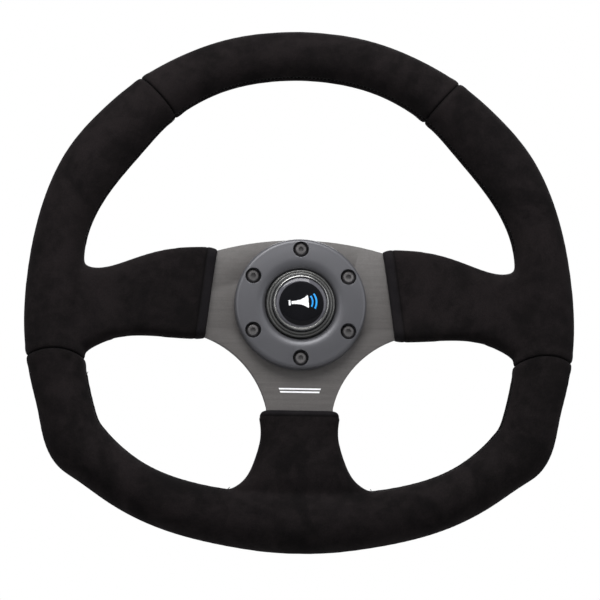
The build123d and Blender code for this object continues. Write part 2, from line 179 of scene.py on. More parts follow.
def maths(tree, operation, a, b=None, clamp=False):
    """A Math node on two sockets or numbers; returns its output."""
    made = tree.nodes.new("ShaderNodeMath")
    made.operation = operation
    made.use_clamp = clamp
    for slot, value in ((0, a), (1, b)):
        if value is None:
            continue
        if isinstance(value, (int, float)):
            made.inputs[slot].default_value = value
        else:
            tree.links.new(value, made.inputs[slot])
    return made.outputs[0]


def times(tree, a, b):
    return maths(tree, "MULTIPLY", a, b)


def plus(tree, a, b):
    return maths(tree, "ADD", a, b)


def shade(colour, factor):
    """A colour made lighter or darker."""
    return tuple(min(1.0, c * factor) for c in colour)


def ramp(tree, value, low, high, low_out=0.0, high_out=1.0):
    """A smooth Map Range of a socket; returns its output."""
    made = tree.nodes.new("ShaderNodeMapRange")
    made.interpolation_type = "SMOOTHSTEP"
    made.inputs["From Min"].default_value = low
    made.inputs["From Max"].default_value = high
    made.inputs["To Min"].default_value = low_out
    made.inputs["To Max"].default_value = high_out
    tree.links.new(value, made.inputs["Value"])
    return made.outputs["Result"]


def mix_colour(tree, factor, first, second, blend="MIX"):
    """A colour Mix node; first and second are sockets or colours."""
    made = tree.nodes.new("ShaderNodeMix")
    made.data_type = "RGBA"
    made.blend_type = blend
    for label, value in (("Factor", factor), ("A", first), ("B", second)):
        index = {"Factor": 0, "A": 6, "B": 7}[label]
        if isinstance(value, (int, float)):
            made.inputs[index].default_value = value
        elif isinstance(value, (tuple, list)):
            made.inputs[index].default_value = (*value[:3], 1.0)
        else:
            tree.links.new(value, made.inputs[index])
    return made.outputs[2]


def noise(tree, vector, scale, detail=2.0, roughness=0.5, distortion=0.0):
    """A Noise Texture; returns its factor output."""
    made = node(
        tree, "ShaderNodeTexNoise", in_Detail=detail, in_Roughness=roughness,
        in_Distortion=distortion,
    )
    if isinstance(scale, (int, float)):
        made.inputs["Scale"].default_value = scale
    else:
        tree.links.new(scale, made.inputs["Scale"])
    tree.links.new(vector, made.inputs["Vector"])
    return made.outputs["Fac"]


def nap_group():
    """Brushed suede: patches where the nap lies differently, fibres, and a few specks of lint."""
    group, start, end = new_group(
        "Suede Nap",
        [
            ("Vector", "NodeSocketVector", None),
            ("Patch Scale", "NodeSocketFloat", 22.0),
            ("Fibre Scale", "NodeSocketFloat", 1500.0),
            ("Lint", "NodeSocketFloat", 1.0),
        ],
        [
            ("Patches", "NodeSocketFloat"),
            ("Fibres", "NodeSocketFloat"),
            ("Lint", "NodeSocketFloat"),
            ("Height", "NodeSocketFloat"),
        ],
    )
    vector = start.outputs["Vector"]
    broad = noise(group, vector, start.outputs["Patch Scale"], 3.0, 0.55, 1.4)
    mottle_scale = times(group, start.outputs["Patch Scale"], 7.0)
    mottle = noise(group, vector, mottle_scale, 3.0, 0.6, 0.4)
    patches = plus(group, times(group, broad, 0.65), times(group, mottle, 0.35))
    patches = ramp(group, patches, 0.34, 0.66)
    fibres = noise(group, vector, start.outputs["Fibre Scale"], 3.0, 0.7)
    clump_scale = times(group, start.outputs["Fibre Scale"], 0.35)
    clumps = noise(group, vector, clump_scale, 2.0, 0.5)
    height = plus(group, times(group, fibres, 0.55), times(group, clumps, 0.45))
    cells = node(group, "ShaderNodeTexVoronoi", in_Scale=95.0, in_Randomness=1.0)
    group.links.new(vector, cells.inputs["Vector"])
    speck = ramp(group, cells.outputs["Distance"], 0.028, 0.012)
    chosen = node(group, "ShaderNodeSeparateColor")
    group.links.new(cells.outputs["Color"], chosen.inputs["Color"])
    rare = ramp(group, chosen.outputs["Red"], 0.80, 0.95)
    lint = times(group, times(group, speck, rare), start.outputs["Lint"])
    group.links.new(patches, end.inputs["Patches"])
    group.links.new(fibres, end.inputs["Fibres"])
    group.links.new(lint, end.inputs["Lint"])
    group.links.new(height, end.inputs["Height"])
    return group


def wear_group():
    """Rubbed edges and handling marks on hard finishes."""
    group, start, end = new_group(
        "Edge Wear",
        [
            ("Vector", "NodeSocketVector", None),
            ("Break Up", "NodeSocketFloat", 260.0),
            ("Amount", "NodeSocketFloat", 0.5),
        ],
        [("Edges", "NodeSocketFloat"), ("Smudges", "NodeSocketFloat")],
    )
    geometry = node(group, "ShaderNodeNewGeometry")
    sharp = ramp(group, geometry.outputs["Pointiness"], 0.52, 0.60)
    broken = noise(group, start.outputs["Vector"], start.outputs["Break Up"], 4.0, 0.65)
    broken = ramp(group, broken, 0.38, 0.62)
    edges = times(group, times(group, sharp, broken), start.outputs["Amount"])
    smudges = noise(group, start.outputs["Vector"], 38.0, 3.0, 0.6, 0.8)
    smudges = ramp(group, smudges, 0.42, 0.68)
    group.links.new(edges, end.inputs["Edges"])
    group.links.new(smudges, end.inputs["Smudges"])
    return group


def grain_group():
    """Fine even grain of a powder coat, moulding or blasted surface."""
    group, start, end = new_group(
        "Fine Grain",
        [
            ("Vector", "NodeSocketVector", None),
            ("Scale", "NodeSocketFloat", 1800.0),
            ("Coarse", "NodeSocketFloat", 0.4),
        ],
        [("Fac", "NodeSocketFloat"), ("Height", "NodeSocketFloat")],
    )
    fine = noise(group, start.outputs["Vector"], start.outputs["Scale"], 2.0, 0.5)
    wide_scale = times(group, start.outputs["Scale"], 0.22)
    wide = noise(group, start.outputs["Vector"], wide_scale, 2.0, 0.5)
    height = plus(group, fine, times(group, wide, start.outputs["Coarse"]))
    group.links.new(fine, end.inputs["Fac"])
    group.links.new(height, end.inputs["Height"])
    return group


def turning_group():
    """Fine rings left by a lathe, about the steering axis."""
    group, start, end = new_group(
        "Lathe Rings",
        [("Vector", "NodeSocketVector", None), ("Pitch", "NodeSocketFloat", 0.35)],
        [("Fac", "NodeSocketFloat")],
    )
    split = node(group, "ShaderNodeSeparateXYZ")
    group.links.new(start.outputs["Vector"], split.inputs[0])
    across = times(group, split.outputs["X"], split.outputs["X"])
    up = times(group, split.outputs["Z"], split.outputs["Z"])
    radius = maths(group, "SQRT", plus(group, across, up))
    along = plus(group, radius, split.outputs["Y"])
    turns = times(group, along, math.tau / MM)
    turns = maths(group, "DIVIDE", turns, start.outputs["Pitch"])
    wave = times(group, maths(group, "SINE", turns), 0.5)
    place = node(group, "ShaderNodeCombineXYZ")
    group.links.new(along, place.inputs["X"])
    drift = noise(group, place.outputs[0], 2600.0, 3.0, 0.7)
    group.links.new(plus(group, times(group, wave, 0.5), drift), end.inputs["Fac"])
    return group


GROUPS = {}


def shared(name):
    """The shader group of that name, built the first time it is asked for."""
    makers = {"nap": nap_group, "wear": wear_group, "grain": grain_group, "turning": turning_group}
    if name not in GROUPS:
        GROUPS[name] = makers[name]()
    return GROUPS[name]


def use_group(tree, name, vector, **values):
    """A shared group placed in a material with its own values."""
    made = tree.nodes.new("ShaderNodeGroup")
    made.node_tree = shared(name)
    tree.links.new(vector, made.inputs["Vector"])
    for key, value in values.items():
        made.inputs[key.replace("_", " ")].default_value = value
    return made


def new_material(name, **shader_values):
    """A material with its Principled shader, and the object coordinates to draw patterns on."""
    material = bpy.data.materials.new(name)
    material.use_nodes = True
    tree = material.node_tree
    shader = next(n for n in tree.nodes if n.type == "BSDF_PRINCIPLED")
    for key, value in shader_values.items():
        shader.inputs[key.replace("_", " ")].default_value = value
    where = node(tree, "ShaderNodeTexCoord")
    place = node(tree, "ShaderNodeMapping")
    tree.links.new(where.outputs["Object"], place.inputs["Vector"])
    return material, tree, shader, place


def add_bump(tree, shader, height, strength, distance):
    """A Bump node from a height socket to the shader's normal."""
    bump = node(tree, "ShaderNodeBump", in_Strength=strength, in_Distance=distance)
    tree.links.new(height, bump.inputs["Height"])
    tree.links.new(bump.outputs["Normal"], shader.inputs["Normal"])
    return bump


# ---------------------------------------------------------------- materials


LINT_COLOUR = (0.24, 0.23, 0.22)


def suede_material():
    base = tuple(colours().suede)
    material, tree, shader, place = new_material(
        "Brushed Suede", Sheen_Weight=0.03, Sheen_Roughness=0.42,
        Sheen_Tint=(0.62, 0.58, 0.60, 1.0), Specular_IOR_Level=0.07,
    )
    nap = use_group(tree, "nap", place.outputs[0], Patch_Scale=20.0, Fibre_Scale=1500.0, Lint=1.0)
    dark = shade(base, 0.72)
    light = (base[0] * 1.55, base[1] * 1.42, base[2] * 1.42)
    colour = mix_colour(tree, nap.outputs["Patches"], dark, light)
    fibre_tone = ramp(tree, nap.outputs["Fibres"], 0.3, 0.7, 0.72, 1.28)
    colour = mix_colour(tree, 1.0, colour, fibre_tone, "MULTIPLY")
    hem = node(tree, "ShaderNodeAttribute", attribute_name="hem")
    # Painted sheen: the hem strip gets a lighter, bluer colour that stands in for the shine of the pressed
    # nap; its lower roughness below is real.
    hem_sheen = (base[0] * 1.25, base[1] * 1.35, base[2] * 1.6)
    colour = mix_colour(tree, times(tree, hem.outputs["Fac"], 0.55), colour, hem_sheen)
    # Painted shade: the suede is darkened towards a quarter of its colour where it turns in at the panel
    # seams, the closing seam and the hem creases.
    crease_shade = node(tree, "ShaderNodeAttribute", attribute_name="crease_shade")
    colour = mix_colour(tree, crease_shade.outputs["Fac"], colour, shade(base, 0.25))
    colour = mix_colour(tree, times(tree, nap.outputs["Lint"], 0.22), colour, LINT_COLOUR)
    tree.links.new(colour, shader.inputs["Base Color"])
    rough = ramp(tree, nap.outputs["Patches"], 0.0, 1.0, 0.98, 0.84)
    rough = maths(tree, "SUBTRACT", rough, times(tree, hem.outputs["Fac"], 0.12))
    tree.links.new(rough, shader.inputs["Roughness"])
    height = plus(tree, nap.outputs["Height"], times(tree, nap.outputs["Patches"], 0.35))
    add_bump(tree, shader, height, 0.55, 0.35 * MM)
    return material


def thread_material():
    material, tree, shader, place = new_material(
        "Waxed Thread", Specular_IOR_Level=0.15
    )
    grain = use_group(tree, "grain", place.outputs[0], Scale=5200.0, Coarse=0.6)
    tone = mix_colour(tree, grain.outputs["Fac"], (0.003, 0.003, 0.003), (0.012, 0.011, 0.011))
    tree.links.new(tone, shader.inputs["Base Color"])
    tree.links.new(ramp(tree, grain.outputs["Fac"], 0.2, 0.8, 0.5, 0.75), shader.inputs["Roughness"])
    add_bump(tree, shader, grain.outputs["Height"], 0.5, 0.12 * MM)
    return material


def plate_material():
    base = tuple(colours().plate)
    material, tree, shader, place = new_material("Grey Powder Coat", Specular_IOR_Level=0.42)
    grain = use_group(tree, "grain", place.outputs[0], Scale=2300.0, Coarse=0.5)
    wear = use_group(tree, "wear", place.outputs[0], Break_Up=300.0, Amount=0.6)
    streak = node(tree, "ShaderNodeMapping", in_Scale=(0.35, 1.0, 9.0))
    tree.links.new(place.outputs[0], streak.inputs["Vector"])
    drawn = noise(tree, streak.outputs[0], 60.0, 4.0, 0.7)
    colour = mix_colour(tree, ramp(tree, drawn, 0.3, 0.7), shade(base, 0.90), shade(base, 1.10))
    speckle = ramp(tree, grain.outputs["Fac"], 0.32, 0.68, 0.86, 1.14)
    colour = mix_colour(tree, 1.0, colour, speckle, "MULTIPLY")
    colour = mix_colour(tree, wear.outputs["Edges"], colour, (0.30, 0.30, 0.30))
    tree.links.new(colour, shader.inputs["Base Color"])
    rough = ramp(tree, wear.outputs["Smudges"], 0.0, 1.0, 0.52, 0.60)
    tree.links.new(rough, shader.inputs["Roughness"])
    add_bump(tree, shader, grain.outputs["Height"], 0.35, 0.10 * MM)
    return material


def anodised_material(name, base, low_rough, high_rough, pitch, metal=0.75):
    """Dark satin anodising over turned aluminium."""
    material, tree, shader, place = new_material(name, Metallic=metal, Specular_IOR_Level=0.5)
    wear = use_group(tree, "wear", place.outputs[0], Break_Up=420.0, Amount=0.05)
    grain = use_group(tree, "grain", place.outputs[0], Scale=3000.0, Coarse=0.3)
    rings = use_group(tree, "turning", place.outputs[0], Pitch=pitch)
    speckle = ramp(tree, grain.outputs["Fac"], 0.3, 0.7)
    colour = mix_colour(tree, speckle, shade(base, 0.93), shade(base, 1.07))
    colour = mix_colour(tree, wear.outputs["Edges"], colour, shade(base, 3.2))
    tree.links.new(colour, shader.inputs["Base Color"])
    rough = ramp(tree, wear.outputs["Smudges"], 0.0, 1.0, low_rough, high_rough)
    rough = plus(tree, rough, ramp(tree, rings.outputs["Fac"], 0.1, 0.9, -0.03, 0.03))
    tree.links.new(rough, shader.inputs["Roughness"])
    fine = times(tree, grain.outputs["Height"], 0.4)
    height = plus(tree, times(tree, rings.outputs["Fac"], 0.5), fine)
    add_bump(tree, shader, height, 0.20, 0.035 * MM)
    return material


def screw_material():
    material, tree, shader, place = new_material("Black Oxide Steel", Metallic=0.9)
    wear = use_group(tree, "wear", place.outputs[0], Break_Up=700.0, Amount=0.2)
    grain = use_group(tree, "grain", place.outputs[0], Scale=3600.0, Coarse=0.6)
    speckle = ramp(tree, grain.outputs["Fac"], 0.3, 0.7)
    colour = mix_colour(tree, speckle, (0.15, 0.145, 0.145), (0.23, 0.22, 0.22))
    colour = mix_colour(tree, wear.outputs["Edges"], colour, (0.42, 0.40, 0.38))
    tree.links.new(colour, shader.inputs["Base Color"])
    tree.links.new(ramp(tree, wear.outputs["Smudges"], 0.0, 1.0, 0.30, 0.44), shader.inputs["Roughness"])
    add_bump(tree, shader, grain.outputs["Height"], 0.25, 0.05 * MM)
    return material


def bright_material(name, base, low_rough, high_rough, scratches=0.5):
    """Polished or drawn bright metal with fine scratches."""
    material, tree, shader, place = new_material(name, Metallic=1.0)
    wear = use_group(tree, "wear", place.outputs[0], Break_Up=300.0, Amount=0.3)
    lines = node(tree, "ShaderNodeMapping", in_Scale=(1.0, 14.0, 1.0), in_Rotation=(0.3, 0.2, 0.5))
    tree.links.new(place.outputs[0], lines.inputs["Vector"])
    scratch = ramp(tree, noise(tree, lines.outputs[0], 420.0, 5.0, 0.75), 0.44, 0.60)
    colour = mix_colour(tree, scratch, shade(base, 0.86), base)
    smudged = times(tree, wear.outputs["Smudges"], 0.25)
    colour = mix_colour(tree, smudged, colour, shade(base, 0.7))
    tree.links.new(colour, shader.inputs["Base Color"])
    tree.links.new(ramp(tree, scratch, 0.0, 1.0, high_rough, low_rough), shader.inputs["Roughness"])
    add_bump(tree, shader, scratch, 0.12 * scratches, 0.03 * MM)
    return material


# Inner radius and downward shift of the grey ring painted on the badge as a reflection of the dome's edge.
REFLECTION_RING_R = 14.0
REFLECTION_RING_DROP = 0.9


def badge_material():
    base = tuple(colours().badge)
    material, tree, shader, place = new_material(
        "Black Doming Resin", Roughness=0.06, Coat_Roughness=0.03, Specular_IOR_Level=0.14
    )
    wear = use_group(tree, "wear", place.outputs[0], Break_Up=500.0, Amount=0.2)
    grain = use_group(tree, "grain", place.outputs[0], Scale=900.0, Coarse=0.8)
    colour = mix_colour(tree, wear.outputs["Smudges"], base, shade(base, 1.4))
    # Painted reflection: a bluish grey ring is painted near the badge's rim, centred lower so it is wider
    # at the top, in place of the dome's edge reflecting its surroundings.
    split = node(tree, "ShaderNodeSeparateXYZ")
    tree.links.new(place.outputs[0], split.inputs[0])
    across = times(tree, split.outputs["X"], split.outputs["X"])
    up = plus(tree, split.outputs["Z"], REFLECTION_RING_DROP * MM)
    up = times(tree, up, up)
    radius = maths(tree, "SQRT", plus(tree, across, up))
    reflection_ring = ramp(tree, radius, REFLECTION_RING_R * MM, (REFLECTION_RING_R + 0.5) * MM)
    colour = mix_colour(tree, reflection_ring, colour, (0.085, 0.084, 0.095))
    tree.links.new(colour, shader.inputs["Base Color"])
    rough = ramp(tree, wear.outputs["Smudges"], 0.0, 1.0, 0.05, 0.11)
    tree.links.new(rough, shader.inputs["Roughness"])
    coat = ramp(tree, grain.outputs["Fac"], 0.3, 0.7, 0.16, 0.24)
    tree.links.new(coat, shader.inputs["Coat Weight"])
    add_bump(tree, shader, grain.outputs["Height"], 0.03, 0.02 * MM)
    return material


def moulded_material(name, base, rough=0.45, scale=2200.0):
    """Satin moulded plastic or paint with a fine grain."""
    material, tree, shader, place = new_material(name)
    grain = use_group(tree, "grain", place.outputs[0], Scale=scale, Coarse=0.5)
    wear = use_group(tree, "wear", place.outputs[0], Break_Up=350.0, Amount=0.4)
    speckle = ramp(tree, grain.outputs["Fac"], 0.3, 0.7)
    colour = mix_colour(tree, speckle, shade(base, 0.9), shade(base, 1.08))
    colour = mix_colour(tree, wear.outputs["Edges"], colour, tuple(min(1.0, c * 1.6 + 0.02) for c in base))
    tree.links.new(colour, shader.inputs["Base Color"])
    dull = ramp(tree, wear.outputs["Smudges"], 0.0, 1.0, rough, rough + 0.12)
    tree.links.new(dull, shader.inputs["Roughness"])
    add_bump(tree, shader, grain.outputs["Height"], 0.2, 0.05 * MM)
    return material


MATERIALS = {}


def finish(name):
    """The finish of that name, made the first time it is asked for."""
    makers = {
        "suede": suede_material,
        "thread": thread_material,
        "plate": plate_material,
        "ring": lambda: anodised_material("Ring Anodising", tuple(colours().ring), 0.44, 0.50, 0.45, 0.4),
        "housing": lambda: anodised_material(
            "Housing Anodising", (0.17, 0.170, 0.165), 0.28, 0.34, 0.3, 0.8
        ),
        "hub": lambda: anodised_material("Hub Anodising", (0.035, 0.036, 0.04), 0.34, 0.44, 0.5, 0.7),
        "collar": lambda: anodised_material("Collar Anodising", (0.10, 0.105, 0.12), 0.28, 0.38, 0.6, 0.85),
        "screw": screw_material,
        "spring": lambda: bright_material("Spring Wire", (0.52, 0.52, 0.51), 0.22, 0.36),
        "ball": lambda: bright_material("Bearing Steel", (0.72, 0.72, 0.73), 0.06, 0.14, 0.3),
        "tube": lambda: bright_material("Drawn Bar", (0.40, 0.40, 0.41), 0.30, 0.5),
        "bezel": lambda: bright_material("Bright Turned Ring", (0.36, 0.36, 0.35), 0.18, 0.28, 0.4),
        "brass": lambda: bright_material("Contact Brass", (0.62, 0.44, 0.16), 0.25, 0.4),
        "badge": badge_material,
        "cap": lambda: anodised_material("Cap Anodising", (0.16, 0.162, 0.17), 0.24, 0.30, 0.35, 0.85),
        "base": lambda: moulded_material("Base Moulding", (0.018, 0.018, 0.018)),
        "mark": lambda: moulded_material("White Print", tuple(colours().mark), 0.4, 3000.0),
        "accent": lambda: moulded_material("Blue Print", tuple(colours().accent), 0.35, 3000.0),
    }
    if name not in MATERIALS:
        MATERIALS[name] = makers[name]()
    return MATERIALS[name]


# ---------------------------------------------------------------- mesh helpers


def finish_piece(name, bm, materials, body, nodes=(), sharp=38.0):
    """Makes a bmesh, drawn in millimetres, into a piece that rides on a body."""
    bmesh.ops.scale(bm, vec=(MM, MM, MM), verts=bm.verts)
    bm.normal_update()
    for face in bm.faces:
        face.smooth = True
    for edge in bm.edges:
        if len(edge.link_faces) == 2:
            edge.smooth = edge.calc_face_angle(0.0) < math.radians(sharp)
    mesh = bpy.data.meshes.new(name)
    bm.to_mesh(mesh)
    bm.free()
    for material in materials:
        mesh.materials.append(finish(material))
    piece = bpy.data.objects.new(name, mesh)
    bpy.context.scene.collection.objects.link(piece)
    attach(piece, body)
    if nodes:
        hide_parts(*nodes)
    return piece


def paint_node(name, material):
    """Gives a carried-over CAD node its finish."""
    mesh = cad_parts[name].data
    mesh.materials.clear()
    mesh.materials.append(finish(material))


def node_copy(*names):
    """A merged bmesh copy of CAD nodes, in millimetres."""
    bm = bmesh.new()
    for name in names:
        bm.from_mesh(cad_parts[name].data)
    bmesh.ops.scale(bm, vec=(1 / MM, 1 / MM, 1 / MM), verts=bm.verts)
    bmesh.ops.remove_doubles(bm, verts=bm.verts, dist=0.002)
    return bm


def lathe(outline, rounding=0.0, steps=144, closed=True):
    """Spins an outline of (radius, y) corners about the steering axis; the corners can be rounded."""
    bm = bmesh.new()
    verts = [bm.verts.new((r, y, 0.0)) for r, y in outline]
    for first, second in zip(verts, verts[1:]):
        bm.edges.new((first, second))
    if closed:
        bm.edges.new((verts[-1], verts[0]))
    if rounding:
        corners = [v for v in verts if len(v.link_edges) == 2 and v.co.x > 0.2]
        bmesh.ops.bevel(
            bm, geom=corners, offset=rounding, offset_type="OFFSET", segments=3, profile=0.5,
            affect="VERTICES", material=-1,
        )
    bmesh.ops.spin(
        bm, geom=bm.verts[:] + bm.edges[:], cent=(0, 0, 0), axis=(0, 1, 0), dvec=(0, 0, 0),
        angle=math.tau, steps=steps, use_merge=True, use_normal_flip=False, use_duplicate=False,
    )
    bmesh.ops.remove_doubles(bm, verts=bm.verts, dist=0.0005)
    bmesh.ops.recalc_face_normals(bm, faces=bm.faces)
    return bm


def cut(bm, cutter):
    """The bmesh with the cutter's volume taken away."""
    pieces = []
    for source in (bm, cutter):
        mesh = bpy.data.meshes.new("cutting")
        source.to_mesh(mesh)
        source.free()
        made = bpy.data.objects.new("cutting", mesh)
        bpy.context.scene.collection.objects.link(made)
        pieces.append(made)
    modifier = pieces[0].modifiers.new("cut", "BOOLEAN")
    modifier.operation = "DIFFERENCE"
    modifier.solver = "EXACT"
    modifier.object = pieces[1]
    depsgraph = bpy.context.evaluated_depsgraph_get()
    result = bmesh.new()
    result.from_mesh(bpy.data.meshes.new_from_object(pieces[0].evaluated_get(depsgraph)))
    for made in pieces:
        bpy.data.objects.remove(made)
    bmesh.ops.remove_doubles(result, verts=result.verts, dist=0.002)
    return result


def bevel_sharp(bm, width, angle=50.0, segments=2):
    """Breaks every edge sharper than angle."""
    bmesh.ops.dissolve_limit(
        bm, angle_limit=math.radians(0.6), verts=bm.verts, edges=bm.edges, delimit={"NORMAL"}
    )
    edges = [
        e for e in bm.edges
        if len(e.link_faces) == 2 and e.calc_face_angle(0.0) > math.radians(angle)
    ]
    bmesh.ops.bevel(
        bm, geom=edges, offset=width, offset_type="OFFSET", segments=segments, profile=0.5,
        affect="EDGES", material=-1, clamp_overlap=True,
    )


def bolt_places():
    """Centres of the six screws, the first at the top."""
    for step in range(6):
        angle = math.radians(90 + 60 * step)
        yield Vector((BOLT_CIRCLE_R * math.cos(angle), 0.0, BOLT_CIRCLE_R * math.sin(angle)))


def rod(radius, start_y, end_y, segments=48, sides_turn=0.0):
    """A solid rod along the steering axis, for cutting."""
    bm = bmesh.new()
    turn = Matrix.Rotation(math.radians(90), 4, "X") @ Matrix.Rotation(sides_turn, 4, "Z")
    bmesh.ops.create_cone(
        bm, cap_ends=True, cap_tris=False, segments=segments, radius1=radius, radius2=radius,
        depth=abs(end_y - start_y), matrix=turn,
    )
    bmesh.ops.translate(bm, vec=(0, (start_y + end_y) / 2, 0), verts=bm.verts)
    bmesh.ops.recalc_face_normals(bm, faces=bm.faces)
    return bm


# ---------------------------------------------------------------- suede wraps

SIDE_END = Vector((52.3, 0.0, 36.0))
SIDE_END_OUT = Vector((0.9912, 0.0, 0.1316))
LOW_END_Z = -67.4
UPPER_SEAM = Vector((91.0, 0.0, 133.5))
UPPER_SEAM_OUT = Vector((0.7443, 0.0, -0.6678))
LOWER_SEAM_Z = -35.0
LOW_HEM = 4.5
SPOKE_MIDDLE_Z = 5.0
SPOKE_HALF = 35.0
LOW_SPOKE_HALF = 29.0


def mirrored(point):
    return Vector((abs(point.x), point.y, point.z))


def past_side_end(point):
    """Distance past the slanted end of the side spoke's wrap, away from the hub."""
    return (mirrored(point) - SIDE_END).dot(SIDE_END_OUT)


def past_low_end(point):
    """Distance past the end of the lower spoke's wrap, away from the hub."""
    return LOW_END_Z - point.z


def past_upper_seam(point):
    """Distance past the upper seam, towards the side panel."""
    return (mirrored(point) - UPPER_SEAM).dot(UPPER_SEAM_OUT)


def past_lower_seam(point):
    """Distance past the lower seam, towards the bottom panel."""
    return LOWER_SEAM_Z - point.z


def at_side_end(point, reach=85.0):
    return abs(point.x) < reach and -45.0 < point.z < 48.0


def at_low_end(point, low=-95.0, high=-60.0):
    return abs(point.x) < 45.0 and low < point.z < high


def at_upper_seam(point):
    return point.z > 95.0 and abs(past_upper_seam(point)) < 12.0


def at_lower_seam(point):
    return abs(point.x) > 112.0 and abs(past_lower_seam(point)) < 12.0


def slice_near(bm, co, no, chosen):
    """Adds an edge loop where a plane crosses the chosen faces."""
    faces = [f for f in bm.faces if chosen(f.calc_center_median())]
    edges = {e for f in faces for e in f.edges}
    verts = {v for f in faces for v in f.verts}
    bmesh.ops.bisect_plane(bm, geom=[*faces, *edges, *verts], dist=0.02, plane_co=co, plane_no=no)


def window_of(point):
    """The middle of the window nearest to a point on the rim."""
    if point.z > 38.0:
        return Vector((point.x * 0.25, RIM_MID_Y, 70.0))
    return min(LOW_WINDOWS, key=lambda w: (w - point).length)


def faces_window(point, normal):
    """How squarely a rim surface faces its window, from 0 to 1; 0 on the spokes."""
    on_rim = point.z > 45.0 or (abs(point.x) > 122.0 and point.z > -60.0) or point.z < -60.0
    if not on_rim or abs(point.z + 5.0) < 42.0 or (point.z < 0 and abs(point.x) < 46.0):
        return 0.0
    towards = window_of(point) - point
    towards.y = 0.0
    return max(0.0, towards.normalized().dot(normal))


CLOSING_SEAM_Y = RIM_MID_Y - 4.2
SMOOTHING_LOSS = 0.35


def wrap_form():
    """The padded form as one smooth closed skin, without the bare middle of the plate."""
    panels = ["suede_" + name for name in PANELS]
    source = node_copy("rim_foam", *panels, "rim_core", "spoke_plate")
    bmesh.ops.scale(source, vec=(MM, MM, MM), verts=source.verts)
    mesh = bpy.data.meshes.new("wrap_form")
    source.to_mesh(mesh)
    source.free()
    form = bpy.data.objects.new("wrap_form", mesh)
    bpy.context.scene.collection.objects.link(form)
    remesh = form.modifiers.new("skin", "REMESH")
    remesh.mode = "VOXEL"
    remesh.voxel_size = sizes().voxel
    depsgraph = bpy.context.evaluated_depsgraph_get()
    bm = bmesh.new()
    bm.from_mesh(bpy.data.meshes.new_from_object(form.evaluated_get(depsgraph)))
    bpy.data.objects.remove(form)
    bmesh.ops.scale(bm, vec=(1 / MM, 1 / MM, 1 / MM), verts=bm.verts)
    for _ in range(sizes().blend_passes):
        bmesh.ops.smooth_vert(
            bm, verts=bm.verts, factor=0.5, use_axis_x=True, use_axis_y=True, use_axis_z=True
        )
    bm.normal_update()
    for vert in bm.verts:
        vert.co += vert.normal * SMOOTHING_LOSS

    hem = sizes().hem_width / MM
    for side in (1, -1):
        start = Vector((SIDE_END.x * side, 0, SIDE_END.z))
        out = Vector((SIDE_END_OUT.x * side, 0, SIDE_END_OUT.z))
        for step in (0.0, 0.5, 1.1, hem - 0.6, hem, hem + 0.6):
            slice_near(bm, start + out * step, out, lambda p: at_side_end(p, 80.0) and p.x * side > 0)
    for step in (0.0, 0.5, 1.1, LOW_HEM - 0.6, LOW_HEM, LOW_HEM + 0.6):
        slice_near(bm, (0, 0, LOW_END_Z - step), (0, 0, 1), lambda p: at_low_end(p, -85.0, -55.0))
    middle = []
    for face in bm.faces:
        p = face.calc_center_median()
        if abs(p.x) < 75.0 and -75.0 < p.z < 60.0 and past_side_end(p) < 0.0 and past_low_end(p) < 0.0:
            middle.append(face)
    bmesh.ops.delete(bm, geom=middle, context="FACES")
    return bm


def slice_seams(bm):
    """Adds the edge loops that the seams need, and marks each face with its panel."""
    width = sizes().seam_round / MM
    steps = [0.0] + [s * width * k for k in (0.12, 0.35, 0.65, 1.0, 1.7) for s in (1, -1)]
    for side in (1, -1):
        co = Vector((UPPER_SEAM.x * side, 0, UPPER_SEAM.z))
        out = Vector((UPPER_SEAM_OUT.x * side, 0, UPPER_SEAM_OUT.z))
        for step in steps:
            slice_near(bm, co + out * step, out, lambda p: at_upper_seam(p) and p.x * side > 0)
    for step in steps:
        slice_near(bm, (0, 0, LOWER_SEAM_Z + step), (0, 0, 1), at_lower_seam)
    bm.normal_update()
    for step in (0.0, 0.45, -0.45, 1.1, -1.1, 2.0, -2.0):
        chosen = {
            f for f in bm.faces
            if abs(f.calc_center_median().y - CLOSING_SEAM_Y) < 4.0
            and faces_window(f.calc_center_median(), f.normal) > 0.55
        }
        edges = {e for f in chosen for e in f.edges}
        verts = {v for f in chosen for v in f.verts}
        bmesh.ops.bisect_plane(
            bm, geom=[*chosen, *edges, *verts], dist=0.02,
            plane_co=(0, CLOSING_SEAM_Y + step, 0), plane_no=(0, 1, 0),
        )
    mark = bm.faces.layers.int.new("panel")
    for face in bm.faces:
        face[mark] = PANELS.index(panel_of(face.calc_center_median()))
    bm.normal_update()


def lower_seam_slide(point):
    """How far the lower seam is pulled up at a point: an arch, lower at the inside of the rim."""
    across = max(-1.0, min(1.0, (abs(point.x) - 154.0) / 19.0))
    return -1.0 + 1.4 * across + 4.0 * (1.0 - across * across)


def end_taper(point):
    """How the spoke wraps draw in towards their ends, as a shift in x and z."""
    shift = Vector()
    if at_side_end(point):
        near = max(0.0, 1.0 - max(0.0, past_side_end(point)) / 8.0) ** 2
        height = (point.z - SPOKE_MIDDLE_Z) / SPOKE_HALF
        shift.z -= near * (1.9 if height > 0 else 1.3) * height ** 3
    if at_low_end(point):
        near = max(0.0, 1.0 - max(0.0, past_low_end(point)) / 6.0) ** 1.3
        shift.x -= near * 3.8 * (point.x / LOW_SPOKE_HALF) ** 5
    return shift


